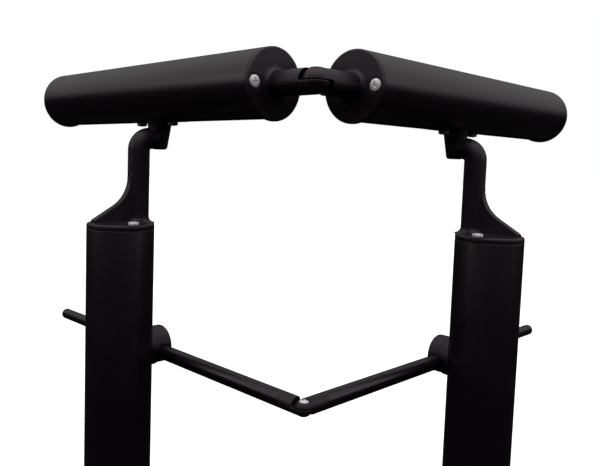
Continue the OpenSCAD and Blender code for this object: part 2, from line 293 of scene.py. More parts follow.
# Sand texture of a casting, with a few pits
def castGroup():
    inputs = {"Sand Scale": 2200.0, "Pit Scale": 700.0, "Pit Depth": 0.8}
    tree, enter, leave = newGroup("castSkin", inputs, ("Height", "Pits"))
    place = addNode(tree, "ShaderNodeTexCoord").outputs["Object"]
    sand = noise(tree, place, enter.outputs["Sand Scale"], 4.0, 0.65)
    cells = addNode(tree, "ShaderNodeTexVoronoi", {"feature": "F1"},
                    {"Vector": place, "Scale": enter.outputs["Pit Scale"]}).outputs["Distance"]
    pits = mapRange(tree, cells, 0.05, 0.22, 1.0, 0.0)
    rare = mapRange(tree, noise(tree, place, 260.0, 1.0), 0.58, 0.66, 0.0, 1.0)
    pitMask = mathNode(tree, "MULTIPLY", pits, rare)
    sunk = mathNode(tree, "MULTIPLY", pitMask, enter.outputs["Pit Depth"])
    tree.links.new(mathNode(tree, "SUBTRACT", sand, sunk), leave.inputs["Height"])
    tree.links.new(pitMask, leave.inputs["Pits"])
    return tree


# Rubbed edges: outer corners of a dense mesh, broken up by noise
def wearGroup():
    tree, enter, leave = newGroup("edgeWear", {"Reach": 0.06, "Break Up": 160.0}, ("Mask",))
    point = addNode(tree, "ShaderNodeNewGeometry").outputs["Pointiness"]
    top = mathNode(tree, "ADD", enter.outputs["Reach"], 0.5)  # pointiness is 0.5 on a flat surface
    edge = mapRange(tree, point, 0.505, top, 0.0, 1.0)
    place = addNode(tree, "ShaderNodeTexCoord").outputs["Object"]
    broken = mapRange(tree, noise(tree, place, enter.outputs["Break Up"], 5.0, 0.7), 0.42, 0.62, 0.0, 1.0)
    tree.links.new(mathNode(tree, "MULTIPLY", edge, broken), leave.inputs["Mask"])
    return tree


# Dust that has settled where a surface looks up, in fine specks and a thin film
def dustGroup():
    inputs = {"Film": 0.3, "Specks": 0.5, "Speck Scale": 1500.0}
    tree, enter, leave = newGroup("settledDust", inputs, ("Mask",))
    facing = addNode(tree, "ShaderNodeSeparateXYZ", {},
                     {0: addNode(tree, "ShaderNodeNewGeometry").outputs["Normal"]}).outputs["Z"]
    up = mapRange(tree, facing, 0.25, 0.95, 0.0, 1.0)
    place = addNode(tree, "ShaderNodeTexCoord").outputs["Object"]
    patches = mapRange(tree, noise(tree, place, 60.0, 5.0, 0.65), 0.35, 0.75, 0.0, 1.0)
    film = mathNode(tree, "MULTIPLY", patches, enter.outputs["Film"])
    specks = mapRange(tree, noise(tree, place, enter.outputs["Speck Scale"], 1.0), 0.70, 0.74, 0.0, 1.0)
    dots = mathNode(tree, "MULTIPLY", specks, enter.outputs["Specks"])
    both = mathNode(tree, "MAXIMUM", film, dots)
    tree.links.new(mathNode(tree, "MULTIPLY", both, up), leave.inputs["Mask"])
    return tree


# Fine scratches that run one way
def scratchGroup():
    tree, enter, leave = newGroup("fineScratches", {"Scale": 500.0, "Stretch": 0.02}, ("Height", "Mask"))
    place = addNode(tree, "ShaderNodeTexCoord").outputs["Object"]
    parts = addNode(tree, "ShaderNodeSeparateXYZ", {}, {0: place})
    squeezed = mathNode(tree, "MULTIPLY", parts.outputs["X"], enter.outputs["Stretch"])
    vector = addNode(tree, "ShaderNodeCombineXYZ", {},
                     {"X": squeezed, "Y": parts.outputs["Y"], "Z": parts.outputs["Z"]}).outputs[0]
    lines = noise(tree, vector, enter.outputs["Scale"], 6.0, 0.75)
    tree.links.new(lines, leave.inputs["Height"])
    tree.links.new(mapRange(tree, lines, 0.55, 0.7, 0.0, 1.0), leave.inputs["Mask"])
    return tree


powderCoat, castSkin, edgeWear = powderGroup(), castGroup(), wearGroup()
settledDust, fineScratches = dustGroup(), scratchGroup()


def placeGroup(tree, group, values):
    node = tree.nodes.new("ShaderNodeGroup")
    node.node_tree = group
    for label, value in values.items():
        node.inputs[label].default_value = value
    return node


def newMaterial(name, settings):
    material = bpy.data.materials.new(name)
    material.use_nodes = True
    tree = material.node_tree
    tree.nodes.clear()
    out = tree.nodes.new("ShaderNodeOutputMaterial")
    shader = tree.nodes.new("ShaderNodeBsdfPrincipled")
    tree.links.new(shader.outputs[0], out.inputs["Surface"])
    for label, value in settings.items():
        shader.inputs[label].default_value = value
    return material, tree, shader


def mixColour(tree, factor, a, b):
    node = addNode(tree, "ShaderNodeMix", {"data_type": "RGBA"})
    for socket, source in ((node.inputs[0], factor), (node.inputs[6], a), (node.inputs[7], b)):
        if hasattr(source, "is_output"):
            tree.links.new(source, socket)
        else:
            socket.default_value = source
    return node.outputs[2]


def bump(tree, height, distance, strength, before=None):
    links = {"Height": height, "Distance": distance, "Strength": strength}
    if before:
        links["Normal"] = before
    return addNode(tree, "ShaderNodeBump", {}, links).outputs[0]


satinValues = {
    "coat": (0.0042, 0.0012, 0.0040, 1), "thin": (0.0058, 0.0024, 0.0056, 1), "dust": (0.075, 0.07, 0.068, 1),
    "gloss": 0.29, "glossShift": 0.025, "rubbed": -0.03, "dusty": 0.3, "peel": 0.00003,
}


def satinCoat():
    v = satinValues
    material, tree, shader = newMaterial("satinBlackCoat", {"IOR": 1.5, "Specular Tint": (1.0, 0.88, 0.95, 1)})
    coat = placeGroup(tree, powderCoat, {"Peel Scale": 850.0, "Grain Scale": 3800.0, "Grain Share": 0.35})
    dust = placeGroup(tree, settledDust, {"Film": 0.10, "Specks": 0.30, "Speck Scale": 1700.0})
    scratch = placeGroup(tree, fineScratches, {"Scale": 420.0, "Stretch": 0.04})
    tone = mixColour(tree, mapRange(tree, coat.outputs["Gloss Shift"], -1, 1, 0, 1), v["coat"], v["thin"])
    tree.links.new(mixColour(tree, dust.outputs["Mask"], tone, v["dust"]), shader.inputs["Base Color"])
    shift = mathNode(tree, "MULTIPLY", coat.outputs["Gloss Shift"], v["glossShift"])
    rough = mathNode(tree, "ADD", shift, v["gloss"])
    rubbed = mathNode(tree, "MULTIPLY", scratch.outputs["Mask"], v["rubbed"])
    dusty = mathNode(tree, "MULTIPLY", dust.outputs["Mask"], v["dusty"])
    total = mathNode(tree, "ADD", mathNode(tree, "ADD", rough, rubbed), dusty)
    tree.links.new(total, shader.inputs["Roughness"])
    tree.links.new(bump(tree, coat.outputs["Height"], v["peel"], 0.55), shader.inputs["Normal"])
    return material


castValues = {
    "coat": (0.0062, 0.0032, 0.0060, 1), "bare": (0.03, 0.027, 0.028, 1), "dust": (0.08, 0.074, 0.072, 1),
    "gloss": 0.44, "rubbed": -0.1, "pitted": 0.2, "worn": 0.55, "sand": 0.00005,
}


def castCoat():
    v = castValues
    material, tree, shader = newMaterial("castBlackCoat", {"IOR": 1.48, "Specular Tint": (1.0, 0.80, 0.93, 1)})
    skin = placeGroup(tree, castSkin, {"Sand Scale": 1900.0, "Pit Scale": 600.0, "Pit Depth": 0.7})
    wear = placeGroup(tree, edgeWear, {"Reach": 0.05, "Break Up": 180.0})
    dust = placeGroup(tree, settledDust, {"Film": 0.16, "Specks": 0.35, "Speck Scale": 1500.0})
    worn = mixColour(tree, mathNode(tree, "MULTIPLY", wear.outputs["Mask"], v["worn"]), v["coat"], v["bare"])
    tree.links.new(mixColour(tree, dust.outputs["Mask"], worn, v["dust"]), shader.inputs["Base Color"])
    smoother = mathNode(tree, "MULTIPLY", wear.outputs["Mask"], v["rubbed"])
    pitted = mathNode(tree, "MULTIPLY", skin.outputs["Pits"], v["pitted"])
    rough = mathNode(tree, "ADD", mathNode(tree, "ADD", smoother, pitted), v["gloss"])
    tree.links.new(rough, shader.inputs["Roughness"])
    tree.links.new(bump(tree, skin.outputs["Height"], v["sand"], 0.5), shader.inputs["Normal"])
    return material


zincValues = {
    "plate": (0.96, 0.96, 0.96, 1), "dull": (0.86, 0.86, 0.85, 1), "tarnish": (0.62, 0.60, 0.57, 1),
    "gloss": 0.46, "glossShift": 0.05, "rubbed": -0.08, "grain": 0.00001,
}


def zincPlate():
    v = zincValues
    material, tree, shader = newMaterial("zincPlate", {"Metallic": 0.4, "IOR": 2.0})
    scratch = placeGroup(tree, fineScratches, {"Scale": 1600.0, "Stretch": 0.15})
    coat = placeGroup(tree, powderCoat, {"Peel Scale": 2500.0, "Grain Scale": 9000.0, "Grain Share": 0.5})
    wear = placeGroup(tree, edgeWear, {"Reach": 0.08, "Break Up": 900.0})
    tone = mixColour(tree, scratch.outputs["Mask"], v["plate"], v["dull"])
    place = addNode(tree, "ShaderNodeTexCoord").outputs["Object"]
    spots = mapRange(tree, noise(tree, place, 700.0, 3.0), 0.6, 0.75, 0.0, 0.6)
    tree.links.new(mixColour(tree, spots, tone, v["tarnish"]), shader.inputs["Base Color"])
    shift = mathNode(tree, "MULTIPLY", coat.outputs["Gloss Shift"], v["glossShift"])
    worn = mathNode(tree, "MULTIPLY", wear.outputs["Mask"], v["rubbed"])
    rough = mathNode(tree, "ADD", mathNode(tree, "ADD", shift, worn), v["gloss"])
    tree.links.new(rough, shader.inputs["Roughness"])
    grain = bump(tree, coat.outputs["Height"], v["grain"], 0.4)
    tree.links.new(bump(tree, scratch.outputs["Height"], v["grain"], 0.35, grain), shader.inputs["Normal"])
    return material


oxideValues = {"skin": (0.02, 0.019, 0.016, 1), "rubbed": (0.10, 0.095, 0.075, 1), "gloss": 0.34,
               "pitted": 0.2, "sand": 0.00002}
# Olive screw plate: a yellowish zinc tint, darkened well below the zinc plate as painted shade for the shadow
# under the handrail
paintedShadeOliveValues = {"skin": (0.30, 0.28, 0.22, 1), "rubbed": (0.50, 0.47, 0.38, 1), "gloss": 0.38,
               "pitted": 0.2, "sand": 0.00002}


def darkScrew(name, v):
    material, tree, shader = newMaterial(name, {"Metallic": 0.4, "IOR": 1.6})
    wear = placeGroup(tree, edgeWear, {"Reach": 0.06, "Break Up": 500.0})
    skin = placeGroup(tree, castSkin, {"Sand Scale": 3500.0, "Pit Scale": 1500.0, "Pit Depth": 0.4})
    tree.links.new(mixColour(tree, wear.outputs["Mask"], v["skin"], v["rubbed"]), shader.inputs["Base Color"])
    rough = mathNode(tree, "ADD", mathNode(tree, "MULTIPLY", skin.outputs["Pits"], v["pitted"]), v["gloss"])
    tree.links.new(rough, shader.inputs["Roughness"])
    tree.links.new(bump(tree, skin.outputs["Height"], v["sand"], 0.4), shader.inputs["Normal"])
    return material


satinBlack, castBlack, zinc = satinCoat(), castCoat(), zincPlate()
oxide, paintedShadeOlive = darkScrew("blackOxide", oxideValues), darkScrew("paintedShadeOlivePlate", paintedShadeOliveValues)
finishOf = {"satin": satinBlack, "cast": castBlack, "zinc": zinc}
print("materials ready")


# Handrail: a closed section with rounded channel lips, drawn in y and z and pushed along x

railValues = {"wall": 2.5, "channelWidth": 21.0, "channelFloor": 19.5, "floorThickness": 2.5, "lipRound": 0.5,
              "outerSteps": 150, "innerSteps": 110}


def handrailMesh():
    v = railValues
    half, lip = v["channelWidth"] / 2, v["lipRound"]
    lipAngle = math.degrees(math.asin((half + lip) / railRadius))
    outer = arc(0, 0, railRadius, -90 + lipAngle, 270 - lipAngle, v["outerSteps"])
    lipZ = -math.sqrt(railRadius ** 2 - (half + lip) ** 2)
    inward = arc(-half - lip, lipZ + lip, lip, -90, 0, 4)
    outline = outer + inward[1:] + [(-half, -v["channelFloor"]), (half, -v["channelFloor"])]
    outline += [(-y, z) for y, z in inward[1:]][::-1]
    inner = railRadius - v["wall"]
    boxHalf = half + v["floorThickness"]
    shoulder = math.degrees(math.asin(boxHalf / inner))
    hollow = arc(0, 0, inner, -90 + shoulder, 270 - shoulder, v["innerSteps"])
    boxTop = v["floorThickness"] - v["channelFloor"]
    hollow += [(-boxHalf, boxTop), (boxHalf, boxTop)]
    bm = bmesh.new()
    start, end = railLow.x, railHigh.x
    for loop, outward in ((outline, 1), (hollow, -1)):
        rings = [[bm.verts.new((x, y, railZ + z)) for y, z in loop] for x in (start, end)]
        for i in range(len(loop)):
            j = (i + 1) % len(loop)
            bm.faces.new([rings[0][i], rings[0][j], rings[1][j], rings[1][i]][::outward])
    for x in (start, end):
        rim = [e for e in bm.edges if all(abs(p.co.x - x) < 1e-4 for p in e.verts)]
        bmesh.ops.triangle_fill(bm, edges=rim, use_beauty=True)
    return meshFrom(bm, "handrail")


rail = handrailMesh()
for side in sides:
    addPiece(side + "Handrail", rail, wingSpace(side), side, satinBlack,
             [side + "_handrail"], 30)
print("handrails ready")


# Posts, bars and sleeves are turned tubes with softened ends

tubeValues = {"postWall": 3.0, "postEdge": 0.5, "barEdge": 0.9, "barStartEdge": 0.3, "sleeveEdge": 0.35,
              "clearance": 0.05}


def tube(bm, r, bore, start, end, edge, place, steps):
    profile = [(bore, start), (r - edge, start)] + arc(r - edge, start + edge, edge, -90, 0, 3)[1:]
    profile += arc(r - edge, end - edge, edge, 0, 90, 3) + [(bore, end)]
    rings = lathe(bm, profile, place, steps)
    for i in range(steps):
        j = (i + 1) % steps
        bm.faces.new([rings[0][j], rings[0][i], rings[-1][i], rings[-1][j]])


def postMesh():
    bm = bmesh.new()
    place = at(postAt.x, postAt.y, 0)
    bore, edge = postRadius - tubeValues["postWall"], tubeValues["postEdge"]
    tube(bm, postRadius, bore, postLow.z, postHigh.z, edge, place, facets["post"])
    return meshFrom(bm, "post")


def barMesh():
    low, high = localBox("right", "bar_1")
    r, edge, start = (high.y - low.y) / 2, tubeValues["barEdge"], tubeValues["barStartEdge"]
    bm = bmesh.new()
    profile = [(0, low.x), (r - start, low.x), (r, low.x + start)] + arc(r - edge, high.x - edge, edge, 0, 90, 6)
    lathe(bm, profile + [(0, high.x)], alongRail, facets["bar"])
    return meshFrom(bm, "bar")


def sleeveMesh():
    low, high = localBox("right", "sleeve_1")
    barLow, barHigh = localBox("right", "bar_1")
    bm = bmesh.new()
    bore = (barHigh.y - barLow.y) / 2 + tubeValues["clearance"]
    tube(bm, (high.y - low.y) / 2, bore, low.x, high.x, tubeValues["sleeveEdge"], alongRail, facets["plug"])
    return meshFrom(bm, "sleeve")


post, bar, sleeve = postMesh(), barMesh(), sleeveMesh()
for side in sides:
    addPiece(side + "Post", post, wingSpace(side), side, satinBlack, [side + "_post"], 40)
    for k, z in enumerate(barHeights, 1):
        level = wingSpace(side) @ at(0, 0, z)
        addPiece("%sBar%d" % (side, k), bar, level, side, satinBlack,
                 ["%s_bar_%d" % (side, k)], 40)
        addPiece("%sSleeve%d" % (side, k), sleeve, level, side, satinBlack,
                 ["%s_sleeve_%d" % (side, k)], 40)
print("posts and bars ready")


# Lap hinge arm: a round arm that ends in a ball, with half of the ball left as a tongue

def ballRod(bm, r, length, place=upward, steps=facets["knob"]):
    lathe(bm, arc(0, 0, r, -90, 0, 24) + [(r, length), (0, length)], place, steps)


# Room for the other half: a larger ball with a groove to the inner side
def lapRecess(cutter, r, gap, slit, upper):
    bm = bmesh.new()
    ballRod(bm, r + gap, r + gap + 1, towardInside)
    lift = slit / 2 if upper else -slit / 2
    bmesh.ops.bisect_plane(bm, geom=bm.verts[:] + bm.edges[:] + bm.faces[:], plane_co=(0, 0, lift),
                           plane_no=(0, 0, 1 if upper else -1), clear_outer=True)
    bmesh.ops.holes_fill(bm, edges=bm.edges[:], sides=0)
    mesh = meshFrom(bm, "recess")
    cutter.from_mesh(mesh)
    bpy.data.meshes.remove(mesh)


capValues = {"thickness": 3.0, "rim": 0.9, "spigot": 14.0, "spigotLength": 10.0, "arm": 8.8, "flare": 3.5,
             "gap": 2.6, "slit": 0.3, "screwPitch": 19.0, "recess": 4.95, "recessDepth": 1.4,
             "pivot": 3.1, "pivotHead": 4.9, "pivotSeat": 6.0, "pivotDepth": 6.7, "plugEdge": 0.6,
             "flareSteps": 15, "voxel": 0.36, "relax": 4, "endRelax": 3}


def capDisc(bm, cutter, face, direction):  # direction is which way the outer face looks along x
    v = capValues
    place = at(face, 0, 0) @ (alongRail if direction > 0 else alongRail.inverted())
    rim = arc(railRadius - v["rim"], -v["rim"], v["rim"], 90, 0, 5)
    profile = [(0, 0)] + rim + [(railRadius, -v["thickness"]), (0, -v["thickness"])]
    lathe(bm, profile, place, facets["rail"])
    plugEnd = -v["thickness"] - v["spigotLength"]
    rod(bm, v["spigot"], plugEnd, -v["thickness"] / 2, place, facets["plug"], v["plugEdge"])
    for s in (-1, 1):
        screwPlace = place @ at(0, s * v["screwPitch"], 0)
        rod(cutter, v["recess"], -v["recessDepth"], v["thickness"], screwPlace, facets["hole"])


def pivotCuts(cutter, v, upper):  # bore and head recess above, blind hole below
    rod(cutter, v["pivot"], -v["pivotDepth"], 2 * v["arm"], upward, facets["hole"])
    if upper:
        rod(cutter, v["pivotHead"], v["pivotSeat"], 2 * v["arm"], upward, facets["bar"])


def cornerCapMesh(upper):
    v = capValues
    face = railLow.x - v["thickness"]
    solid, cutter = bmesh.new(), bmesh.new()
    capDisc(solid, cutter, face, -1)
    ballRod(solid, v["arm"], face + 1, alongRail, facets["arm"])
    flare = [(0, face - v["flare"])] + [
        (v["arm"] + v["flare"] * (1 - math.cos(a)), face - v["flare"] * (1 - math.sin(a)))
        for a in [math.pi / 2 * i / v["flareSteps"] for i in range(v["flareSteps"] + 1)]
    ] + [(v["arm"] + v["flare"], face + 0.5), (0, face + 0.5)]
    lathe(solid, flare, alongRail)
    lapRecess(cutter, v["arm"], v["gap"], v["slit"], upper)
    pivotCuts(cutter, v, upper)
    mesh = carved(meshFrom(solid, "cap"), meshFrom(cutter, "cuts"), "cornerCap")
    return cast(mesh, "cornerCap", v["voxel"], v["relax"])


def endCapMesh():
    solid, cutter = bmesh.new(), bmesh.new()
    capDisc(solid, cutter, railHigh.x + capValues["thickness"], 1)
    mesh = carved(meshFrom(solid, "cap"), meshFrom(cutter, "cuts"), "endCap")
    return cast(mesh, "endCap", capValues["voxel"], capValues["endRelax"])


endCap = endCapMesh()
for side in sides:
    level = wingSpace(side) @ at(0, 0, railZ)
    cornerCap = cornerCapMesh(side == "right")
    addPiece(side + "CornerCap", cornerCap, level, side, castBlack, [side + "_corner_cap"])
    addPiece(side + "EndCap", endCap, level, side, castBlack, [side + "_end_cap"])
print("handrail caps ready")


hingeValues = {"arm": 6.0, "reach": 19.0, "spigot": 4.95, "spigotEdge": 0.5, "gap": 2.6, "slit": 0.3,
               "pivot": 1.7, "pivotHead": 3.7, "pivotSeat": 3.0, "pivotDepth": 4.4, "voxel": 0.26, "relax": 3}


def hingeMesh(side):
    v = hingeValues
    end = localBox(side, "hinge_1")[1].x
    upper = side == "right"
    solid, cutter = bmesh.new(), bmesh.new()
    ballRod(solid, v["arm"], v["reach"], alongRail, facets["barArm"])
    rod(solid, v["spigot"], v["reach"] - 2, end, alongRail, facets["bar"], v["spigotEdge"])
    lapRecess(cutter, v["arm"], v["gap"], v["slit"], upper)
    pivotCuts(cutter, v, upper)
    mesh = carved(meshFrom(solid, "hinge"), meshFrom(cutter, "cuts"), "hinge")
    return cast(mesh, "hinge", v["voxel"], v["relax"])


for side in sides:
    hinge = hingeMesh(side)
    for k, z in enumerate(barHeights, 1):
        addPiece("%sHinge%d" % (side, k), hinge, wingSpace(side) @ at(0, 0, z), side, castBlack,
                 ["%s_hinge_%d" % (side, k)])
print("bar hinges ready")


holderValues = {"radius": 15.5, "rise": 3.2, "face": 8.7, "edge": 1.3, "collar": 0.8, "collarEnd": -2.0,
                "collarEdge": 0.4, "barBore": 5.05, "sleeveBore": 6.05, "reachThrough": 60.0,
                "screwUp": 8.6, "recess": 5.0, "recessDepth": 1.4, "voxel": 0.4, "relax": 3}


def holderMesh():
    v = holderValues
    r, back = v["radius"], localBox("right", "holder_1")[0].y
    sleeveHigh = localBox("right", "sleeve_1")[1]
    place = at(postAt.x, 0, v["rise"]) @ towardInside
    solid, cutter = bmesh.new(), bmesh.new()
    profile = [(0, back), (r, back)] + arc(r - v["edge"], v["face"] - v["edge"], v["edge"], 0, 90, 6)
    lathe(solid, profile + [(0, v["face"])], place)
    rod(solid, r + v["collar"], back, v["collarEnd"], place, facets["knob"], v["collarEdge"])
    through = v["reachThrough"]
    rod(cutter, postRadius, -through, through, at(postAt.x, postAt.y, 0), facets["post"])
    rod(cutter, v["barBore"], -through, through, at(postAt.x, 0, 0) @ alongRail, facets["bar"])
    rod(cutter, v["sleeveBore"], 0, sleeveHigh.x, alongRail, facets["bar"])
    screwPlace = place @ at(0, -v["screwUp"], v["face"])
    rod(cutter, v["recess"], -v["recessDepth"], v["recessDepth"], screwPlace, facets["hole"])
    mesh = carved(meshFrom(solid, "holder"), meshFrom(cutter, "cuts"), "holder")
    return cast(mesh, "holder", v["voxel"], v["relax"])


holder = holderMesh()
for side in sides:
    for k, z in enumerate(barHeights, 1):
        addPiece("%sHolder%d" % (side, k), holder, wingSpace(side) @ at(0, 0, z), side, castBlack,
                 ["%s_holder_%d" % (side, k)])
print("bar holders ready")


# Gooseneck bracket: post cap, stem, gusset, elbow and boss, cast in one

bracketValues = {"capThickness": 4.5, "rim": 1.7, "spigot": 13.0, "spigotLength": 12.0, "stem": 8.75,
                 "stemOut": 16.9, "neckZ": -36.6, "bend": 9.5, "neckEnd": 7.2, "foot": 4.8, "bossLean": 3.7,
                 "bossTop": 10.0, "bossBottom": 6.8, "bossRound": 2.6, "ribThickness": 6.0, "ribTop": -67.8,
                 "ribCurve": 26.6, "ribSlope": 60.0, "screwPitch": 19.0, "recess": 5.8, "recessDepth": 0.3,
                 "capEdge": 0.4, "spigotEdge": 0.6, "ribRim": 1.6, "ribSteps": 12, "footSteps": 10,
                 "clearUp": 9.0, "voxel": 0.4, "relax": 6}


def bracketMesh():
    v = bracketValues
    solid, cutter = bmesh.new(), bmesh.new()
    capTop = postHigh.z + v["capThickness"] - railZ
    postPlace = at(postAt.x, postAt.y, 0)
    rim = arc(postRadius - v["rim"], capTop - v["rim"], v["rim"], 0, 90, 6)
    base = capTop - v["capThickness"]
    under = [(0, base), (postRadius - v["capEdge"], base), (postRadius, base + v["capEdge"])]
    lathe(solid, under + rim + [(0, capTop)], postPlace, facets["post"])
    rod(solid, v["spigot"], base - v["spigotLength"], base + 1, postPlace, facets["plug"], v["spigotEdge"])
    stemY, turnZ = -v["stemOut"], v["neckZ"] - v["bend"]
    neck = at(postAt.x, stemY, 0) @ Matrix.Rotation(math.atan2(v["bossLean"], v["stemOut"]), 4, "Z")
    elbow = [(0, y, turnZ + z) for y, z in arc(v["bend"], 0, v["bend"], 180, 90, 16)]
    sweep(solid, [(0, 0, base + 1)] + elbow, v["stem"], neck)
    neckLength = math.hypot(v["bossLean"], v["stemOut"])
    overlap = v["bend"] - 1
    level = [(0, overlap), (v["stem"], overlap), (v["stem"], v["bend"]), (v["neckEnd"], neckLength)]
    lathe(solid, level + [(0, neckLength)], neck @ at(0, 0, v["neckZ"]) @ towardInside, facets["hole"])
    foot = [(0, capTop - 1), (v["stem"] + v["foot"], capTop - 1)] + [
        (v["stem"] + v["foot"] * (1 - math.sin(a)), capTop + v["foot"] * (1 - math.cos(a)))
        for a in [math.pi / 2 * i / v["footSteps"] for i in range(v["footSteps"] + 1)]
    ]
    lathe(solid, foot + [(0, capTop + v["foot"])], at(postAt.x, stemY, 0), facets["stem"])
    bossBase = v["neckZ"] - v["stem"]
    bossEdge = arc(v["bossBottom"] - v["bossRound"], bossBase + v["bossRound"], v["bossRound"], -90, -8, 6)
    lipZ = localBox("right", "saddle_plate")[0].z - railZ
    boss = [(0, bossBase)] + bossEdge + [(v["bossTop"], lipZ), (0, lipZ)]
    lathe(solid, boss, at(postAt.x - v["bossLean"], 0, 0), facets["stem"])
    root, slope = v["stemOut"] + v["stem"], math.radians(v["ribSlope"])
    bends = [slope * i / v["ribSteps"] for i in range(v["ribSteps"] + 1)]
    curve = [(root + v["ribCurve"] * (1 - math.cos(a)), v["ribTop"] - v["ribCurve"] * math.sin(a)) for a in bends]
    rimOut = postRadius - postAt.y - v["ribRim"]
    rimZ = curve[-1][1] - (rimOut - curve[-1][0]) / math.tan(slope)
    start = v["ribTop"] + 2  # the rib begins inside the stem
    outline = [(v["stemOut"], capTop - 1), (v["stemOut"], start), (root - 0.4, start)]
    outline += curve + [(rimOut, rimZ), (rimOut, capTop - 1)]
    outward = Matrix.Rotation(-math.pi / 2, 4, "Z") @ Matrix.Rotation(math.pi / 2, 4, "X")
    half = v["ribThickness"] / 2
    prism(solid, outline, -half, half, at(postAt.x, 0, 0) @ outward)
    for s in (-1, 1):
        screwPlace = postPlace @ at(s * v["screwPitch"], 0, 0)
        rod(cutter, v["recess"], capTop - v["recessDepth"], capTop + v["clearUp"], screwPlace, facets["hole"])
    mesh = carved(meshFrom(solid, "bracket"), meshFrom(cutter, "cuts"), "bracket")
    return cast(mesh, "bracket", v["voxel"], v["relax"])


bracket = bracketMesh()
for side in sides:
    addPiece(side + "Bracket", bracket, wingSpace(side) @ at(0, 0, railZ), side, castBlack,
             [side + "_bracket"])
print("brackets ready")


# Screws: domed pan heads with a tapered cross recess and a rolled thread

# The first two lines are shares of the head's or the thread's size, foot and bevel are in millimetres
shapeValues = {"edge": 0.16, "dome": 0.16, "crossSpan": 1.12, "crossWidth": 0.27, "crossDepth": 0.62,
               "pitch": 0.55, "threadDepth": 0.22,
               "footRise": 0.25, "footIn": 0.2, "footBelow": 0.6, "bevel": 0.09,
               "rowsPerTurn": 5, "ridgeSlope": 2.6}


def quarterTurn(x, y, times):
    for _ in range(times):
        x, y = -y, x
    return x, y


def crossCutter(span, width, depth):
    bm = bmesh.new()
    w, s = width / 2, span / 2
    arm = [(s, -w), (s, w), (w, w)]
    outline = [spot for quarter in range(4) for spot in [quarterTurn(x, y, quarter) for x, y in arm]]
    levels = ((-depth, 0.42), (0.0, 1.0), (3.0, 1.5))  # height and scale: the recess narrows downwards
    rings = [[bm.verts.new((x * k, y * k, z)) for x, y in outline] for z, k in levels]
    bm.faces.new(rings[0][::-1])
    bm.faces.new(rings[-1])
    for low, high in zip(rings, rings[1:]):
        for i in range(len(outline)):
            j = (i + 1) % len(outline)
            bm.faces.new([low[i], low[j], high[j], high[i]])
    return meshFrom(bm, "cross")


def threadRows(bm, r, length, pitch, depth, steps=20):
    count = int(length / pitch * shapeValues["rowsPerTurn"])
    rings = []
    for i in range(count + 1):
        z = -length * i / count
        ring = []
        for k in range(steps):
            phase = (z / pitch + k / steps) % 1.0
            ridge = 1 - min(1, abs(phase - 0.5) * shapeValues["ridgeSlope"])
            taper = min(1.0, (length + z) / (1.5 * r) + 0.25)
            ringR = (r - depth + depth * ridge) * taper
            angle = turn * k / steps
            ring.append(bm.verts.new((ringR * math.cos(angle), ringR * math.sin(angle), z)))
        rings.append(ring)
    for low, high in zip(rings, rings[1:]):
        for k in range(steps):
            bm.faces.new([low[k], low[(k + 1) % steps], high[(k + 1) % steps], high[k]])
    bm.faces.new(rings[0])
    bm.faces.new(rings[-1][::-1])


def panScrewMesh(headR, headH, threadR, length):
    v = shapeValues
    head = bmesh.new()
    edge, dome = v["edge"] * headR, v["dome"] * headH
    flat = headR - edge
    crown = [(flat * i / 8, headH - dome * (i / 8) ** 2) for i in range(9)]
    shoulder = arc(flat, headH - dome - edge, edge, 78, 0, 5)
    foot = [(headR, v["footRise"]), (headR - v["footIn"], 0), (threadR, 0)]
    foot += [(threadR, -v["footBelow"]), (0, -v["footBelow"])]
    lathe(head, crown + shoulder + foot, upward, facets["bar"])
    drive = crossCutter(headR * v["crossSpan"], headR * v["crossWidth"], headH * v["crossDepth"])
    drive.transform(at(0, 0, headH))
    mesh = carved(meshFrom(head, "head"), drive, "screwHead")
    shank = bmesh.new()
    shank.from_mesh(mesh)
    bpy.data.meshes.remove(mesh)
    threadRows(shank, threadR, length, threadR * v["pitch"], threadR * v["threadDepth"])
    out = helper(meshFrom(shank, "screw"))
    soften = out.modifiers.new("edges", "BEVEL")
    soften.width, soften.segments, soften.limit_method = v["bevel"], 2, "ANGLE"
    soften.angle_limit = math.radians(35)
    return applied(out, "screw")


screwValues = {"head": 4.25, "height": 2.6, "thread": 2.05, "length": 18.0, "holderLength": 13.0,
               "saddleHead": 4.2, "saddleHeight": 3.7, "saddleLength": 12.0, "saddlePitch": 22.0,
               "pivotHead": 4.4, "pivotHeight": 2.7, "pivot": 3.0, "pivotLength": 12.5,
               "barHead": 3.2, "barHeight": 2.0, "barPivot": 1.6, "barLength": 7.2}


def spun(degrees):  # each screw stops at an angle of its own
    return Matrix.Rotation(math.radians(degrees), 4, "Z")


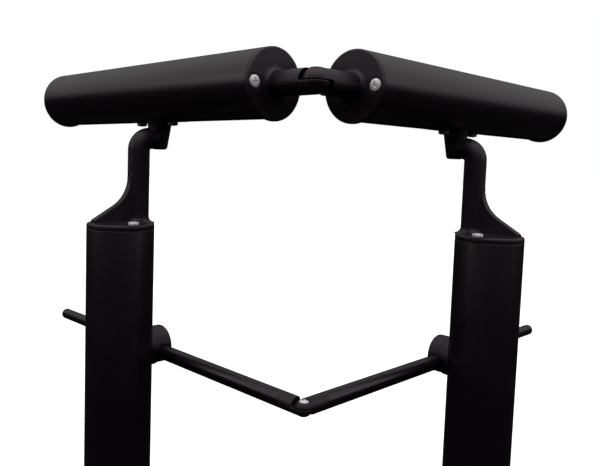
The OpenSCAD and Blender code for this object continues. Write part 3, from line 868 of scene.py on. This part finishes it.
def addScrews():
    v = screwValues
    cap = panScrewMesh(v["head"], v["height"], v["thread"], v["length"])
    holderScrew = panScrewMesh(v["head"], v["height"], v["thread"], v["holderLength"])
    saddle = panScrewMesh(v["saddleHead"], v["saddleHeight"], v["thread"], v["saddleLength"])
    pivot = panScrewMesh(v["pivotHead"], v["pivotHeight"], v["pivot"], v["pivotLength"])
    barPivot = panScrewMesh(v["barHead"], v["barHeight"], v["barPivot"], v["barLength"])
    sunk = capValues["recessDepth"]
    cornerFace = at(railLow.x - capValues["thickness"] + sunk, 0, railZ) @ alongRail.inverted()
    outerFace = at(railHigh.x + capValues["thickness"] - sunk, 0, railZ) @ alongRail
    capTop = postHigh.z + bracketValues["capThickness"] - bracketValues["recessDepth"]
    lipZ = localBox("right", "saddle_plate")[0].z
    for n, side in enumerate(sides):
        group = []
        for s in (-1, 1):
            offset = at(0, s * capValues["screwPitch"], 0)
            onPost = at(postAt.x + s * bracketValues["screwPitch"], postAt.y, capTop)
            group.append((cap, cornerFace @ offset @ spun(20 + 31 * s + 15 * n)))
            group.append((cap, outerFace @ offset @ spun(65 + 12 * s - 9 * n)))
            group.append((cap, onPost @ spun(40 - 27 * s)))
        addPiece(side + "CapScrews", joined(group, "capScrews"), wingSpace(side), side, zinc,
                 [side + "_cap_screws"], 35)
        under = at(postAt.x, 0, lipZ) @ Matrix.Rotation(math.pi, 4, "X")
        pairPlaces = [(saddle, under @ at(s * v["saddlePitch"], 0, 0) @ spun(30 * s + 10 * n)) for s in (-1, 1)]
        # The saddle screws under the handrail get the darkened olive plate: painted shade, not a darker plating
        addPiece(side + "SaddleScrews", joined(pairPlaces, "saddleScrews"), wingSpace(side), side, paintedShadeOlive,
                 [side + "_saddle_screws"], 35)
        h = holderValues
        face = at(postAt.x, h["face"] - h["recessDepth"], h["rise"] + h["screwUp"])
        rows = [(holderScrew, face @ at(0, 0, z) @ towardInside @ spun(37 * k + 11 * n))
                for k, z in enumerate(barHeights)]
        addPiece(side + "HolderScrews", joined(rows, "holderScrews"), wingSpace(side), side, zinc,
                 [side + "_holder_screws"], 35)
    top = at(0, 0, railZ + capValues["pivotSeat"])
    addPiece("cornerPivotScrew", pivot, wingSpace("right") @ top @ spun(12), "left", oxide,
             ["corner_pivot_screw"], 35)
    seat = hingeValues["pivotSeat"]
    rows = [(barPivot, at(0, 0, z + seat) @ spun(25 + 40 * k)) for k, z in enumerate(barHeights)]
    addPiece("barPivotScrews", joined(rows, "barPivots"), wingSpace("right"), "left", zinc,
             ["bar_pivot_screws"], 35)


addScrews()
print("screws ready")


# CAD nodes whose shape stays get their finish here

kept = {"saddle_plate": "satin", "base_flange": "cast", "saddle_bolt": "zinc", "base_screws": "zinc"}
for side in sides:
    for piece, finish in kept.items():
        node = frame["nodes"][side + "_" + piece]
        node.data.materials.clear()
        node.data.materials.append(finishOf[finish])


# Camera, light and floor

viewValues = {"place": (-19.109, -420.635, -50.867), "yaw": -0.009, "pitch": -0.081, "roll": 0.033,
              "focal": 657.449, "shiftRight": 24.752, "shiftUp": 19.481, "width": 600.0, "sensor": 36.0}


def addCamera():
    v = viewValues
    ahead = Vector((math.sin(v["yaw"]) * math.cos(v["pitch"]), math.cos(v["yaw"]) * math.cos(v["pitch"]),
                    math.sin(v["pitch"])))
    right = Vector((math.cos(v["yaw"]), -math.sin(v["yaw"]), 0))
    up = right.cross(ahead)
    tiltedRight = math.cos(v["roll"]) * right + math.sin(v["roll"]) * up
    tiltedUp = math.cos(v["roll"]) * up - math.sin(v["roll"]) * right
    data = bpy.data.cameras.new("camera")
    data.sensor_width, data.sensor_fit = v["sensor"], "HORIZONTAL"
    data.lens = v["focal"] / v["width"] * v["sensor"]
    data.shift_x, data.shift_y = v["shiftRight"] / v["width"], -v["shiftUp"] / v["width"]
    data.clip_start, data.clip_end = 0.01, 100
    camera = bpy.data.objects.new("camera", data)
    axes = Matrix((tiltedRight, tiltedUp, -ahead)).transposed().to_4x4()
    camera.matrix_world = Matrix.Translation(cornerAxis + Vector(v["place"]) * mm) @ axes
    bpy.context.scene.collection.objects.link(camera)
    bpy.context.scene.camera = camera


lightValues = {
    "top": {"place": (0.0, -0.5, 2.9), "size": (2.6, 2.0), "power": 9},
    "leftSide": {"place": (-2.6, -0.3, 1.7), "size": (1.2, 0.7), "power": 2.2},
    "rightSide": {"place": (2.6, -0.3, 1.7), "size": (1.2, 0.7), "power": 2.2},
}
lampTarget = Vector((0, 0, 0.75))


def addLights():
    for name, v in lightValues.items():
        data = bpy.data.lights.new(name, "AREA")
        data.shape, data.energy = "RECTANGLE", v["power"]
        data.size, data.size_y = v["size"]
        lamp = bpy.data.objects.new(name, data)
        lamp.location = v["place"]
        aim = lampTarget - lamp.location
        lamp.rotation_euler = aim.to_track_quat("-Z", "Y").to_euler()
        bpy.context.scene.collection.objects.link(lamp)


skyValues = {"zenith": 1.08, "horizon": 0.06, "side": 0.32, "sideRise": 0.18, "back": 0.5, "low": 0.012}


# The camera sees white; the object is lit by a sky that is bright overhead and dark below the horizon
def addSky():
    v = skyValues
    world = bpy.data.worlds.new("sky")
    world.use_nodes = True
    tree = world.node_tree
    tree.nodes.clear()
    direction = addNode(tree, "ShaderNodeTexCoord").outputs["Generated"]
    parts = addNode(tree, "ShaderNodeSeparateXYZ", {}, {0: direction}).outputs
    height = mathNode(tree, "SUBTRACT", parts["Z"], v["horizon"])
    dome = mathNode(tree, "MULTIPLY", mathNode(tree, "MAXIMUM", height, 0.0), v["zenith"])
    across = mathNode(tree, "MULTIPLY", parts["X"], parts["X"])
    walls = mathNode(tree, "MULTIPLY", mapRange(tree, height, 0.0, v["sideRise"], 0.0, v["side"]), across)
    behind = mapRange(tree, parts["Y"], 0.1, 0.9, 1.0, v["back"])
    lit = mathNode(tree, "MULTIPLY", mathNode(tree, "ADD", dome, walls), behind)
    strength = mathNode(tree, "ADD", lit, v["low"])
    sky = addNode(tree, "ShaderNodeBackground", {}, {"Color": (1, 1, 1, 1), "Strength": strength})
    white = addNode(tree, "ShaderNodeBackground", {}, {"Color": (1, 1, 1, 1), "Strength": 1.0})
    seen = addNode(tree, "ShaderNodeLightPath").outputs["Is Camera Ray"]
    mix = addNode(tree, "ShaderNodeMixShader", {}, {0: seen, 1: sky.outputs[0], 2: white.outputs[0]})
    addNode(tree, "ShaderNodeOutputWorld", {}, {"Surface": mix.outputs[0]})
    bpy.context.scene.world = world


def addFloor():
    bm = bmesh.new()
    half = 30.0  # metres
    corners = ((-half, -half, 0), (half, -half, 0), (half, half, 0), (-half, half, 0))
    bm.faces.new([bm.verts.new(corner) for corner in corners])
    mesh = bpy.data.meshes.new("floor")
    bm.to_mesh(mesh)
    bm.free()
    floor = bpy.data.objects.new("floor", mesh)
    bpy.context.scene.collection.objects.link(floor)
    floor.visible_glossy = floor.visible_diffuse = False
    paper = newMaterial("palePaper", {"Base Color": (0.8, 0.8, 0.8, 1), "Roughness": 0.9,
                                      "Emission Color": (1, 1, 1, 1), "Emission Strength": 0.78})[0]
    mesh.materials.append(paper)


addCamera()
addLights()
addSky()
addFloor()
bpy.context.scene.view_settings.view_transform = "Standard"
print("scene ready")
